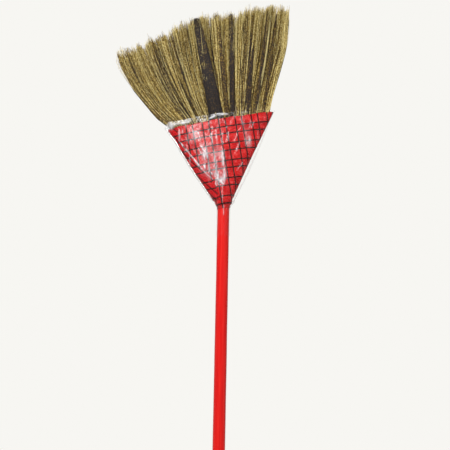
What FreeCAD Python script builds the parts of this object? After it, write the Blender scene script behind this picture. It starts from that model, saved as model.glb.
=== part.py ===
import FreeCAD, Part
import math
import os
import Sketcher

# A fan-shaped grass broom, standing head up: a wooden stick in a plastic film, a moulded end cap with a hang
# hole, two layers of grass sheaves bound to the tapered end of the stick, and a printed film cover with a
# clear sleeve over it. Millimetres, +Z up along the handle, +Y to the back, origin at the hang hole's centre.

doc = FreeCAD.newDocument("GrassBroom")
sheet = doc.addObject("Spreadsheet::Sheet", "Dims")

SIZES = (
    # handle
    ("neck_height", 870.0),        # hang hole to the neck, where the head begins
    ("stick_radius", 11.5),
    ("film_thickness", 0.5),       # plastic film shrunk on the stick
    ("shoulder_height", 2.0),      # top of the full-size stick, above the neck
    ("tenon_radius", 7.2),         # stick just above the shoulder, where the stalks lie round it
    ("point_radius", 2.8),
    ("point_height", 115.0),       # upper end of the stick, above the neck
    # end cap
    ("hang_radius", 4.0),
    ("tongue_thickness", 7.0),
    ("tongue_height", 12.0),       # hang hole to the start of the ramps
    ("ramp_radius", 9.0),
    ("cap_floor_height", 26.0),    # hang hole to the floor inside the cap
    ("cap_rim_height", 54.0),      # hang hole to the rim of the cap
    ("spigot_radius", 9.8),        # turned end of the stick inside the cap
    ("cap_clearance", 0.15),
    # nail through the neck
    ("nail_drop", 3.0),            # nail below the neck
    ("nail_radius", 0.8),
    ("nail_clearance", 0.1),
    ("nail_head_radius", 2.0),
    ("nail_head_thickness", 0.7),
    # head
    ("head_tilt", 7.5),            # degrees, the head leans to the left of the handle
    ("sheaves_per_layer", 13),
    ("sheaf_clearance", 0.4),      # between the two layers, and to the stick
    ("sheaf_bevel", 0.55),         # corners cut off a sheaf, as a share of its smaller half
    ("parting_width", 30.0),       # half-width over which the stick parts the layers
    ("length_left", 336.0),        # lengths of the sheaves along the head's axis
    ("length_middle", 402.0),
    ("length_right", 405.0),
    ("back_shortfall", 14.0),      # the back layer is cut shorter
    # binding, splints and lashings under the cover
    ("binding_height", 12.0),
    ("binding_turns", 5),
    ("wire_thickness", 0.9),
    ("wire_pitch", 1.8),
    ("laid_clearance", 0.2),       # pieces laid on the sheaves
    ("splint_thickness", 2.2),
    ("splint_width", 7.0),
    ("splint_inset", 6.0),         # ends of the splints inside the edges of the bundle
    ("lashing_width", 0.8),
    ("lashing_clearance", 0.45),
    # cover and sleeve
    ("cover_thickness", 0.5),
    ("cover_clearance", 0.3),
    ("skirt_drop", 6.0),           # round skirt of the cover, from below the neck
    ("skirt_top_drop", 0.8),
    ("corner_slack", 6.0),         # flat corner of the cover past the sheaves on the right
    ("fold_width", 18.0),          # left edge folded over on the front
    ("fold_start", 14.0),
    ("fold_clearance", 0.1),
    ("sleeve_thickness", 0.3),
    ("sleeve_clearance", 1.1),
    ("sleeve_drop", 62.0),         # clear sleeve below the neck
    ("sleeve_stand", 8.0),         # clear sleeve above the mouth of the cover
)

# Outline of the two layers of sheaves at heights along the head's axis: height, reach to the left and to the
# right, half-depth in the middle and at the edges, and the gap between neighbouring sheaves.
LEVELS = (
    ("root", 6.0, 12.8, 13.8, 11.8, 4.0, 0.3),
    ("belly", 90.0, 49.2, 57.8, 13.0, 6.0, 1.6),
    ("mouth", 172.0, 88.0, 106.0, 15.0, 6.5, 0.8),
    ("lip", 182.0, 91.0, 107.0, 15.4, 6.6, 0.8),
    ("spread", 212.0, 128.0, 118.0, 18.0, 8.0, 1.0),
    ("flare", 256.0, 157.0, 139.0, 21.0, 10.0, 1.2),
    ("brush", 306.0, 179.0, 161.0, 24.0, 12.0, 1.6),
    ("tip", 0.0, 188.0, 188.0, 24.0, 12.0, 7.0),
)
LEVEL_SIZES = ("height", "left", "right", "depth", "edge", "gap")
# Corners from the edge to the middle of each face of a film's section.
FACE_STEPS = 5
# Share of a film's offset that moves its edge corners sideways.
EDGE_SHARE = 0.5
# How far the sides of the bundle bulge past its edges inside the cover.
BULGES = (("root", 0.6), ("belly", 4.0), ("mouth", 4.5))


def fill_sheet():
    named = list(SIZES)
    for level in LEVELS:
        for size_name, value in zip(LEVEL_SIZES, level[1:]):
            if not (level[0] == "tip" and size_name == "height"):
                named.append((level[0] + "_" + size_name, value))
    for level_name, value in BULGES:
        named.append((level_name + "_bulge", value))
    for row, (alias, value) in enumerate(named, start=1):
        sheet.set("A%d" % row, alias)
        sheet.set("B%d" % row, str(value))
        sheet.setAlias("B%d" % row, alias)
    doc.recompute()


def size(alias):
    return float(sheet.get(alias))


def number(expression):
    result = sheet.evalExpression(expression)
    return float(getattr(result, "Value", result))


# Expressions that several pieces share.
FILM_RADIUS = "(Dims.stick_radius + Dims.film_thickness)"
SHOULDER = "(Dims.neck_height + Dims.shoulder_height)"
BORE_RADIUS = "(Dims.nail_radius + Dims.nail_clearance)"
NAIL_HEIGHT = "(Dims.neck_height - Dims.nail_drop)"
SKIRT_RADIUS = "(" + FILM_RADIUS + " + Dims.cover_clearance)"
NAIL_REACH = "(" + SKIRT_RADIUS + " + Dims.cover_thickness + Dims.nail_clearance)"
LAID = "Dims.laid_clearance"
CORE = {
    "root": "Dims.tenon_radius",
    "belly": "(Dims.tenon_radius - (Dims.tenon_radius - Dims.point_radius)"
             " * (Dims.belly_height - Dims.shoulder_height) / (Dims.point_height - Dims.shoulder_height))",
}


def seat(piece, x, y, z, angle=None):
    """Places a piece in the head, whose axis leans from the neck; angle turns it about Y."""
    turn = angle if angle else "-Dims.head_tilt"
    piece.Placement = FreeCAD.Placement(FreeCAD.Vector(), FreeCAD.Rotation(FreeCAD.Vector(0, 1, 0), number(turn)))
    piece.setExpression("Placement.Rotation.Angle", turn)
    piece.setExpression("Placement.Base.x", f"({x}) * cos(Dims.head_tilt) - ({z}) * sin(Dims.head_tilt)")
    piece.setExpression("Placement.Base.y", y)
    piece.setExpression(
        "Placement.Base.z",
        f"Dims.neck_height + ({x}) * sin(Dims.head_tilt) + ({z}) * cos(Dims.head_tilt)",
    )


def bind(sketch, index, constraint_name, expression):
    sketch.renameConstraint(index, constraint_name)
    sketch.setExpression("Constraints." + constraint_name, expression)


def draw_outline(sketch, corners):
    """Closed outline of straight lines with both coordinates of every corner bound to the sheet."""
    points = [FreeCAD.Vector(number(x), number(y), 0) for x, y in corners]
    count = len(points)
    for k in range(count):
        sketch.addGeometry(Part.LineSegment(points[k], points[(k + 1) % count]), False)
    for k in range(count):
        sketch.addConstraint(Sketcher.Constraint("Coincident", k, 2, (k + 1) % count, 1))
    for k, (x, y) in enumerate(corners):
        for kind, expression, axis in (("DistanceX", x, -2), ("DistanceY", y, -1)):
            if expression == "0":
                sketch.addConstraint(Sketcher.Constraint("PointOnObject", k, 1, axis))
            else:
                index = sketch.addConstraint(Sketcher.Constraint(kind, -1, 1, k, 1, number(expression)))
                bind(sketch, index, f"corner{k}{kind[-1]}", expression)


def origin_plane(body, role):
    return [feature for feature in body.Origin.OriginFeatures if feature.Role == role][0]


def body_sketch(body, name, role):
    sketch = body.newObject("Sketcher::SketchObject", name)
    sketch.AttachmentSupport = (origin_plane(body, role), [""])
    sketch.MapMode = "FlatFace"
    return sketch


def turned_body(label, corners):
    """A body turned about Z from an outline of (radius, height) corners."""
    body = doc.addObject("PartDesign::Body", label)
    body.Label = label
    sketch = body_sketch(body, label + "_profile", "XZ_Plane")
    draw_outline(sketch, corners)
    turned = body.newObject("PartDesign::Revolution", label + "_turned")
    turned.Profile = sketch
    turned.ReferenceAxis = (sketch, ["V_Axis"])
    turned.Angle = 360
    return body


def cross_bore(body, label, role, radius, height):
    """A round hole through a body, square to the origin plane of that role."""
    sketch = body_sketch(body, label + "_circle", role)
    centre = FreeCAD.Vector(0, number(height), 0)
    sketch.addGeometry(Part.Circle(centre, FreeCAD.Vector(0, 0, 1), number(radius)), False)
    sketch.addConstraint(Sketcher.Constraint("PointOnObject", 0, 3, -2))
    index = sketch.addConstraint(Sketcher.Constraint("Radius", 0, number(radius)))
    bind(sketch, index, "radius", radius)
    if height == "0":
        sketch.addConstraint(Sketcher.Constraint("PointOnObject", 0, 3, -1))
    else:
        index = sketch.addConstraint(Sketcher.Constraint("DistanceY", -1, 1, 0, 3, number(height)))
        bind(sketch, index, "height", height)
    pocket = body.newObject("PartDesign::Pocket", label)
    pocket.Profile = sketch
    pocket.Type = "ThroughAll"
    pocket.Midplane = True
    return pocket


def make_stick():
    stick = turned_body("handle_stick", (
        ("0", "Dims.cap_floor_height + Dims.cap_clearance"),
        ("Dims.spigot_radius", "Dims.cap_floor_height + Dims.cap_clearance"),
        ("Dims.spigot_radius", "Dims.cap_rim_height"),
        ("Dims.stick_radius", "Dims.cap_rim_height"),
        ("Dims.stick_radius", SHOULDER),
        ("Dims.tenon_radius", SHOULDER),
        ("Dims.point_radius", "Dims.neck_height + Dims.point_height"),
        ("0", "Dims.neck_height + Dims.point_height"),
    ))
    cross_bore(stick, "stick_nail_bore", "YZ_Plane", BORE_RADIUS, NAIL_HEIGHT)
    return stick


def make_film():
    film = turned_body("handle_film", (
        ("Dims.stick_radius", "Dims.cap_rim_height"),
        (FILM_RADIUS, "Dims.cap_rim_height"),
        (FILM_RADIUS, "Dims.neck_height"),
        ("Dims.stick_radius", "Dims.neck_height"),
    ))
    cross_bore(film, "film_nail_bore", "YZ_Plane", BORE_RADIUS, NAIL_HEIGHT)
    return film


def draw_flat(sketch, side):
    """One side of the hang tongue: the flat and the ramp that rises from it to the round of the cap."""
    face = number("Dims.tongue_thickness / 2")
    top = number("Dims.tongue_height")
    ramp = number("Dims.ramp_radius")
    reach = number(FILM_RADIUS)
    first = sketch.GeometryCount
    foot = FreeCAD.Vector(side * face, -2 * reach, 0)
    root = FreeCAD.Vector(side * face, top, 0)
    crest = FreeCAD.Vector(side * (face + ramp), top + ramp, 0)
    outer = FreeCAD.Vector(side * (face + ramp), -2 * reach, 0)
    centre = FreeCAD.Vector(side * (face + ramp), top, 0)
    middle = centre + FreeCAD.Vector(-side, 1, 0).normalize() * ramp
    sketch.addGeometry(Part.LineSegment(foot, root), False)
    sketch.addGeometry(Part.Arc(root, middle, crest), False)
    sketch.addGeometry(Part.LineSegment(crest, outer), False)
    sketch.addGeometry(Part.LineSegment(outer, foot), False)
    arc_start, arc_end = (2, 1) if side > 0 else (1, 2)
    for constraint in (
        ("Coincident", first + 1, arc_end, first + 2, 1),
        ("Coincident", first + 2, 2, first + 3, 1),
        ("Coincident", first + 3, 2, first, 1),
        ("Vertical", first),
        ("Vertical", first + 2),
        ("Horizontal", first + 3),
        ("Tangent", first, 2, first + 1, arc_start),
    ):
        sketch.addConstraint(Sketcher.Constraint(*constraint))
    side_name = "Right" if side > 0 else "Left"
    for name, expression, constraint in (
        ("face", f"{side} * Dims.tongue_thickness / 2", ("DistanceX", -1, 1, first, 2, side * face)),
        ("top", "Dims.tongue_height", ("DistanceY", -1, 1, first, 2, top)),
        ("ramp", "Dims.ramp_radius", ("Radius", first + 1, ramp)),
        ("crest", f"{side} * (Dims.tongue_thickness / 2 + Dims.ramp_radius)",
         ("DistanceX", -1, 1, first + 2, 1, side * (face + ramp))),
        ("foot", "-2 * " + FILM_RADIUS, ("DistanceY", -1, 1, first, 1, -2 * reach)),
    ):
        index = sketch.addConstraint(Sketcher.Constraint(*constraint))
        bind(sketch, index, name + side_name, expression)


def make_cap():
    """Moulded end cap: a round-ended cup over the spigot, thinned to a tongue round the hang hole."""
    body = doc.addObject("PartDesign::Body", "end_cap")
    body.Label = "end_cap"
    sketch = body_sketch(body, "cap_profile", "XZ_Plane")
    radius = number(FILM_RADIUS)
    bore = "(Dims.spigot_radius + Dims.cap_clearance)"
    bottom = FreeCAD.Vector(0, -radius, 0)
    side = FreeCAD.Vector(radius, 0, 0)
    rim = FreeCAD.Vector(radius, number("Dims.cap_rim_height"), 0)
    inner_rim = FreeCAD.Vector(number(bore), rim.y, 0)
    inner_floor = FreeCAD.Vector(number(bore), number("Dims.cap_floor_height"), 0)
    floor = FreeCAD.Vector(0, inner_floor.y, 0)
    dome = FreeCAD.Vector(radius, -radius, 0).normalize() * radius
    sketch.addGeometry(Part.Arc(bottom, dome, side), False)
    for start, end in ((side, rim), (rim, inner_rim), (inner_rim, inner_floor), (inner_floor, floor), (floor, bottom)):
        sketch.addGeometry(Part.LineSegment(start, end), False)
    for constraint in (
        ("Coincident", 0, 2, 1, 1),
        ("Coincident", 1, 2, 2, 1),
        ("Coincident", 2, 2, 3, 1),
        ("Coincident", 3, 2, 4, 1),
        ("Coincident", 4, 2, 5, 1),
        ("Coincident", 5, 2, 0, 1),
        ("Coincident", 0, 3, -1, 1),
        ("Vertical", 1),
        ("Horizontal", 2),
        ("Vertical", 3),
        ("Horizontal", 4),
        ("PointOnObject", 5, 1, -2),
        ("PointOnObject", 5, 2, -2),
        ("PointOnObject", 0, 2, -1),
    ):
        sketch.addConstraint(Sketcher.Constraint(*constraint))
    for name, expression, constraint in (
        ("radius", FILM_RADIUS, ("Radius", 0, radius)),
        ("rim", "Dims.cap_rim_height", ("DistanceY", -1, 1, 2, 1, rim.y)),
        ("bore", bore, ("DistanceX", -1, 1, 3, 1, inner_rim.x)),
        ("floor", "Dims.cap_floor_height", ("DistanceY", -1, 1, 4, 1, floor.y)),
    ):
        index = sketch.addConstraint(Sketcher.Constraint(*constraint))
        bind(sketch, index, name, expression)
    cup = body.newObject("PartDesign::Revolution", "cap_turned")
    cup.Profile = sketch
    cup.ReferenceAxis = (sketch, ["V_Axis"])
    cup.Angle = 360
    flats = body_sketch(body, "tongue_flats", "YZ_Plane")
    draw_flat(flats, 1)
    draw_flat(flats, -1)
    tongue = body.newObject("PartDesign::Pocket", "tongue")
    tongue.Profile = flats
    tongue.Type = "ThroughAll"
    tongue.Midplane = True
    cross_bore(body, "hang_hole", "XZ_Plane", "Dims.hang_radius", "0")
    return body


def make_nail():
    """The nail lies along X: it is turned about Z and laid over through the neck."""
    nail = turned_body("neck_nail", (
        ("0", "-" + NAIL_REACH),
        ("Dims.nail_radius", "-" + SKIRT_RADIUS),
        ("Dims.nail_radius", NAIL_REACH),
        ("Dims.nail_head_radius", NAIL_REACH),
        ("Dims.nail_head_radius", NAIL_REACH + " + Dims.nail_head_thickness"),
        ("0", NAIL_REACH + " + Dims.nail_head_thickness"),
    ))
    nail.Placement = FreeCAD.Placement(FreeCAD.Vector(), FreeCAD.Rotation(FreeCAD.Vector(0, 1, 0), 90))
    nail.setExpression("Placement.Base.z", NAIL_HEIGHT)
    return nail


def bevelled(name, half_width, half_depth):
    """A rectangular section with its corners cut off at 45 degrees."""
    sketch = doc.addObject("Sketcher::SketchObject", name)
    bevel = f"(Dims.sheaf_bevel * min({half_width}; {half_depth}))"
    width = number(half_width)
    depth = number(half_depth)
    cut = number(bevel)
    quarter = [(width, depth - cut), (width - cut, depth)]
    corners = quarter + [(-x, y) for x, y in reversed(quarter)]
    corners += [(x, -y) for x, y in reversed(corners)]
    count = len(corners)
    points = [FreeCAD.Vector(x, y, 0) for x, y in corners]
    for k in range(count):
        sketch.addGeometry(Part.LineSegment(points[k], points[(k + 1) % count]), False)
    for k in range(count):
        sketch.addConstraint(Sketcher.Constraint("Coincident", k, 2, (k + 1) % count, 1))
    for constraint in (
        ("Symmetric", 0, 1, 3, 1, -2),
        ("Symmetric", 1, 1, 2, 1, -2),
        ("Symmetric", 0, 1, 7, 1, -1),
        ("Symmetric", 1, 1, 6, 1, -1),
        ("Symmetric", 2, 1, 5, 1, -1),
        ("Symmetric", 3, 1, 4, 1, -1),
    ):
        sketch.addConstraint(Sketcher.Constraint(*constraint))
    for constraint_name, expression, constraint in (
        ("side", half_width, ("DistanceX", -1, 1, 0, 1, width)),
        ("sideEnd", f"{half_depth} - {bevel}", ("DistanceY", -1, 1, 0, 1, depth - cut)),
        ("faceEnd", f"{half_width} - {bevel}", ("DistanceX", -1, 1, 1, 1, width - cut)),
        ("face", half_depth, ("DistanceY", -1, 1, 1, 1, depth)),
    ):
        index = sketch.addConstraint(Sketcher.Constraint(*constraint))
        bind(sketch, index, constraint_name, expression)
    return sketch


def loft(name, sections):
    piece = doc.addObject("Part::Loft", name)
    piece.Sections = sections
    piece.Solid = True
    piece.Ruled = True
    piece.Linearize = True
    return piece


def boolean(kind, name, base, tool):
    piece = doc.addObject(kind, name)
    piece.Base = base
    piece.Tool = tool
    piece.Label = name
    return piece


def sheaf_section(name, level, share, side, height):
    """Section of the sheaf whose lane lies at share (-1 left, 1 right) in the front or back layer."""
    half_span = f"((Dims.{level}_left + Dims.{level}_right) / 2)"
    half_lane = 1 / number("Dims.sheaves_per_layer")
    inboard = max(0, abs(share) - half_lane)
    outboard = abs(share) + half_lane / 2
    outer = f"(Dims.{level}_edge + (Dims.{level}_depth - Dims.{level}_edge) * {1 - outboard * outboard:.6f})"
    inner = "Dims.sheaf_clearance"
    if level in CORE:
        width = CORE[level] if level == "root" else "Dims.parting_width"
        inner += f" + {CORE[level]} * sqrt(max(0; 1 - pow({inboard:.6f} * {half_span} / {width}; 2)))"
    half_width = f"({half_span} / Dims.sheaves_per_layer - Dims.{level}_gap / 2)"
    half_depth = f"(({outer} - ({inner})) / 2)"
    sketch = bevelled(name, half_width, half_depth)
    x = f"(Dims.{level}_right - Dims.{level}_left) / 2 + {share:.6f} * {half_span}"
    y = f"{side} * ({outer} + {inner}) / 2"
    seat(sketch, x, y, height)
    return sketch


def make_sheaf(layer, index, count):
    side = -1 if layer == "front" else 1
    share = (2 * index + 1) / count - 1
    reach = "Dims.length_left" if share < 0 else "Dims.length_right"
    tip_height = f"Dims.length_middle + ({reach} - Dims.length_middle) * {abs(share):.6f}"
    if layer == "back":
        tip_height += " - Dims.back_shortfall"
    name = f"sheaf_{layer}_{index + 1:02d}"
    sections = []
    for level in LEVELS:
        height = tip_height if level[0] == "tip" else f"Dims.{level[0]}_height"
        sections.append(sheaf_section(f"{name}_{level[0]}", level[0], share, side, height))
    sheaf = loft(name, sections)
    sheaf.Label = name
    return sheaf


def head_point(x, y, z):
    """A point of the head's own axes in the part's frame."""
    tilt = math.radians(size("head_tilt"))
    return FreeCAD.Vector(
        x * math.cos(tilt) - z * math.sin(tilt), y, size("neck_height") + x * math.sin(tilt) + z * math.cos(tilt)
    )


def full_ring(quarter):
    """All corners of a section, counter-clockwise, from its first quarter."""
    ring = list(quarter)
    ring += [(-x, y) for x, y in reversed(quarter[:-1])]
    ring += [(x, -y) for x, y in reversed(ring[1:-1])]
    return ring


def bundle_ring(level, room, grow, slack=0.0, height=None):
    """Section round the whole bundle, with room over the sheaves, grown by a film's offset."""
    half_span = (size(level + "_left") + size(level + "_right") + slack) / 2
    centre = (size(level + "_right") + slack - size(level + "_left")) / 2
    depth = size(level + "_depth") + room + grow
    corner_x = half_span + (room + grow) * EDGE_SHARE
    corner_y = size(level + "_edge") + room + grow
    quarter = [(half_span + size(level + "_bulge") + room + grow, 0.0)]
    for step in range(FACE_STEPS):
        share = 1 - step / FACE_STEPS
        quarter.append((share * corner_x, corner_y + (depth - corner_y) * (1 - share * share)))
    quarter.append((0.0, depth))
    at = size(level + "_height") if height is None else height
    return [head_point(centre + x, y, at) for x, y in full_ring(quarter)]


def handle_ring(radius, drop):
    """Round section on the handle, below the neck, with as many corners as a section of the bundle."""
    turn = math.pi / 2 / (FACE_STEPS + 1)
    quarter = [(radius * math.cos(k * turn), radius * math.sin(k * turn)) for k in range(FACE_STEPS + 2)]
    return [FreeCAD.Vector(x, y, size("neck_height") - drop) for x, y in full_ring(quarter)]


def strip(low, high):
    """Two flat triangles for each step along two rows of points."""
    faces = []
    for k in range(len(low) - 1):
        for corners in ((low[k], low[k + 1], high[k + 1]), (low[k], high[k + 1], high[k])):
            faces.append(Part.Face(Part.makePolygon([*corners, corners[0]])))
    return faces


def skin(name, outer, inner, start=0, steps=None):
    """A film between outer and inner rings, all the way round or for some steps from a start corner."""
    count = len(outer[0])
    span = [(start + k) % count for k in range((steps or count) + 1)]
    outer_rows = [[ring[k] for k in span] for ring in outer]
    inner_rows = [[ring[k] for k in span] for ring in inner]
    faces = []
    for rows in (outer_rows, inner_rows):
        for low, high in zip(rows, rows[1:]):
            faces += strip(low, high)
    for end in (0, -1):
        faces += strip(outer_rows[end], inner_rows[end])
        if steps:
            faces += strip([row[end] for row in outer_rows], [row[end] for row in inner_rows])
    solid = Part.Solid(Part.Shell(faces))
    if solid.Volume < 0:
        solid.reverse()
    piece = doc.addObject("Part::Feature", name)
    piece.Shape = solid
    piece.Label = name
    return piece


def laid_shell(name, inner, outer):
    """A skin over the bundle from the root to the mouth, between two offsets from the sheaves."""
    rings = [[bundle_ring(level, 0.0, grow) for level, _ in BULGES] for grow in (outer, inner)]
    return skin(name + "_shell", *rings)


def block(name, x_size, y_size, z_size, x, y, z):
    """A box in the head's axes, with its low corner at x, y, z."""
    box = doc.addObject("Part::Box", name)
    box.setExpression("Length", x_size)
    box.setExpression("Width", y_size)
    box.setExpression("Height", z_size)
    seat(box, x, y, z)
    return box


def between(low, high, share):
    """Points part of the way from one ring to another."""
    return [start + (end - start) * share for start, end in zip(low, high)]


def make_binding():
    """Turns of wire round the stalks just above the neck."""
    inner = size("laid_clearance")
    outer = inner + size("wire_thickness")
    rings = {grow: [bundle_ring(level, 0.0, grow) for level in ("root", "belly")] for grow in (inner, outer)}
    rise = size("belly_height") - size("root_height")
    turns = []
    for turn in range(int(size("binding_turns"))):
        low = size("binding_height") + turn * size("wire_pitch") - size("root_height")
        shares = (low / rise, (low + size("wire_thickness")) / rise)
        walls = [[between(*rings[grow], share) for share in shares] for grow in (outer, inner)]
        turns.append(skin(f"binding_turn_{turn + 1}", *walls))
    binding = doc.addObject("Part::Compound", "neck_binding")
    binding.Links = turns
    binding.Label = "neck_binding"
    return binding


def make_splints():
    """Bamboo splints laid across the front and the back of the sheaves at the belly."""
    laid = size("laid_clearance")
    shell = laid_shell("splint", laid, laid + size("splint_thickness"))
    length = "(Dims.belly_left + Dims.belly_right - 2 * Dims.splint_inset)"
    depth = "(2 * Dims.belly_depth)"
    splints = []
    for layer, y in (("front", "-" + depth), ("back", "0")):
        piece = block(f"splint_{layer}_block", length, depth, "Dims.splint_width",
                      "Dims.splint_inset - Dims.belly_left", y, "Dims.belly_height - Dims.splint_width / 2")
        splints.append(boolean("Part::Common", "splint_" + layer, shell, piece))
    return splints


def make_lashings(count):
    """Loops of cord round both splints, through the gaps between the sheaves and clear of the stick."""
    loops = []
    stick_x = number("Dims.belly_height * tan(Dims.head_tilt)")
    for gap in range(2, count, 2):
        share = 2 * gap / count - 1
        middle = {}
        for level in ("root", "belly", "mouth"):
            middle[level] = (f"((Dims.{level}_right - Dims.{level}_left) / 2"
                             f" + {share:.6f} * (Dims.{level}_left + Dims.{level}_right) / 2)")
        room = number(CORE["belly"] + " + Dims.lashing_width + Dims.sheaf_clearance")
        if abs(number(middle["belly"]) - stick_x) < room:
            continue
        slope = (f"atan(({middle['mouth']} - {middle['root']}) / (Dims.mouth_height - Dims.root_height))"
                 " - Dims.head_tilt * 1 deg")
        outer = (f"(Dims.belly_edge + (Dims.belly_depth - Dims.belly_edge) * {1 - share * share:.6f}"
                 f" + {LAID} + Dims.splint_thickness + Dims.lashing_clearance)")
        tall = "(Dims.splint_width / 2 + Dims.lashing_clearance)"
        halves = []
        for part_name, grow in (("outer", "Dims.lashing_width"), ("inner", "0")):
            width = "Dims.lashing_width" if part_name == "outer" else "3 * Dims.lashing_width"
            box = doc.addObject("Part::Box", f"lashing_{gap}_{part_name}")
            box.setExpression("Length", width)
            box.setExpression("Width", f"2 * ({outer} + {grow})")
            box.setExpression("Height", f"2 * ({tall} + {grow})")
            seat(box, middle["belly"], "0", "Dims.belly_height", slope)
            centre_box(box, width, f"({outer} + {grow})", f"({tall} + {grow})", middle["belly"], slope)
            halves.append(box)
        loops.append(boolean("Part::Cut", f"lashing_{gap}", *halves))
    group = doc.addObject("Part::Compound", "splint_lashings")
    group.Links = loops
    group.Label = "splint_lashings"
    return group


def centre_box(box, width, half_y, half_z, x, slope):
    """Centres a box turned by slope on a point at the belly's height."""
    z = "Dims.belly_height"
    box.setExpression("Placement.Base.x", f"({x}) * cos(Dims.head_tilt) - ({z}) * sin(Dims.head_tilt)"
                      f" - {width} / 2 * cos({slope}) - {half_z} * sin({slope})")
    box.setExpression("Placement.Base.y", "-" + half_y)
    box.setExpression("Placement.Base.z", f"Dims.neck_height + ({x}) * sin(Dims.head_tilt)"
                      f" + ({z}) * cos(Dims.head_tilt) + {width} / 2 * sin({slope}) - {half_z} * cos({slope})")


def room(level):
    """Room between the sheaves and the cover for what lies there."""
    if level == "root":
        return size("laid_clearance") + size("wire_thickness") + size("cover_clearance")
    if level == "belly":
        splint = size("laid_clearance") + size("splint_thickness")
        return splint + size("lashing_clearance") + size("lashing_width") + size("cover_clearance")
    return size("cover_clearance")


def film_rings(grow):
    """Sections of a film over the head from the root to the mouth."""
    rings = []
    for level, _ in BULGES:
        slack = size("corner_slack") if level == "mouth" else 0.0
        rings.append(bundle_ring(level, room(level), grow, slack))
    return rings


def cover_rings(grow):
    radius = number(SKIRT_RADIUS) + grow
    return [handle_ring(radius, size("skirt_drop")), handle_ring(radius, size("skirt_top_drop"))] + film_rings(grow)


def make_cover():
    """Printed film: a front and a back panel that meet at the sides, with the nail's holes."""
    outer = cover_rings(size("cover_thickness"))
    inner = cover_rings(0.0)
    half = len(outer[0]) // 2
    bore = doc.addObject("Part::Cylinder", "cover_nail_bore")
    bore.setExpression("Radius", BORE_RADIUS)
    bore.setExpression("Height", "4 * " + FILM_RADIUS)
    bore.Placement = FreeCAD.Placement(FreeCAD.Vector(), FreeCAD.Rotation(FreeCAD.Vector(0, 1, 0), 90))
    bore.setExpression("Placement.Base.x", "-2 * " + FILM_RADIUS)
    bore.setExpression("Placement.Base.z", NAIL_HEIGHT)
    panels = []
    for side, start in (("front", half), ("back", 0)):
        panel = skin(f"cover_{side}_panel", outer, inner, start, half)
        panels.append(boolean("Part::Cut", "cover_" + side, panel, bore))
    return panels


def make_fold():
    """The left edge of the cover, folded over on the front."""
    under = size("cover_thickness") + size("fold_clearance")
    shell = skin("fold_shell", film_rings(under + size("cover_thickness")), film_rings(under))
    outline = doc.addObject("Sketcher::SketchObject", "fold_outline")
    far = "(Dims.mouth_left + Dims.mouth_bulge + 2 * Dims.fold_width)"
    slant = ("((Dims.mouth_left - Dims.root_left + Dims.mouth_bulge - Dims.root_bulge)"
             " / (Dims.mouth_height - Dims.root_height))")
    low_x = (f"-(Dims.root_left + Dims.root_bulge + {slant} * (Dims.fold_start - Dims.root_height))"
             " + Dims.fold_width / 2")
    draw_outline(outline, (
        ("-" + far, "Dims.fold_start"),
        (low_x, "Dims.fold_start"),
        ("Dims.fold_width - Dims.mouth_left - Dims.mouth_bulge", "Dims.mouth_height"),
        ("-" + far, "Dims.mouth_height"),
    ))
    outline.Placement = FreeCAD.Placement(FreeCAD.Vector(), FreeCAD.Rotation(FreeCAD.Vector(1, 0, 0), 90))
    prism = doc.addObject("Part::Extrusion", "fold_prism")
    prism.Base = outline
    prism.DirMode = "Custom"
    prism.Dir = FreeCAD.Vector(0, -1, 0)
    prism.setExpression("LengthFwd", "2 * (Dims.mouth_depth + Dims.splint_thickness)")
    prism.Solid = True
    seat(prism, "0", "0", "0")
    return boolean("Part::Common", "cover_side_fold", shell, prism)


def sleeve_rings(grow):
    """The sleeve lies close on the handle at its hem and stands off the cover further up."""
    over_cover = size("cover_thickness") + grow
    hem_radius = number(FILM_RADIUS) + size("cover_clearance") + grow - size("sleeve_clearance")
    hem = handle_ring(hem_radius, size("sleeve_drop"))
    collar = handle_ring(number(SKIRT_RADIUS) + over_cover, size("skirt_drop"))
    top = size("mouth_height") + size("sleeve_stand")
    stand = bundle_ring("mouth", room("mouth"), over_cover, size("corner_slack"), top)
    return [hem, collar] + film_rings(over_cover) + [stand]


def make_sleeve():
    """Clear film sleeve over the cover and the top of the handle."""
    clearance = size("sleeve_clearance")
    return skin("clear_sleeve", sleeve_rings(clearance + size("sleeve_thickness")), sleeve_rings(clearance))


def check(piece):
    shape = piece.Shape
    if shape.isNull() or not shape.isValid():
        raise RuntimeError(piece.Label + " has no valid shape")
    if not shape.Solids:
        raise RuntimeError(piece.Label + " has no solid")


fill_sheet()
layer_count = int(number("Dims.sheaves_per_layer"))
pieces = [make_stick(), make_film(), make_cap(), make_nail(), make_binding()]
pieces += make_splints()
pieces.append(make_lashings(layer_count))
pieces += make_cover()
pieces += [make_fold(), make_sleeve()]
for layer_name in ("front", "back"):
    for lane in range(layer_count):
        pieces.append(make_sheaf(layer_name, lane, layer_count))
doc.recompute()

failed = [item.Name for item in doc.Objects if "Invalid" in item.State or "Error" in item.State]
if failed:
    raise RuntimeError("These objects failed: " + ", ".join(failed))
os.makedirs("parts", exist_ok=True)
for piece in pieces:
    check(piece)
    piece.Shape.exportStep("parts/" + piece.Label + ".step")
    print(piece.Label, len(piece.Shape.Solids), round(piece.Shape.Volume, 1))
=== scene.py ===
import math

import bpy
import numpy as np
from mathutils import Matrix, Vector, noise


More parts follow.
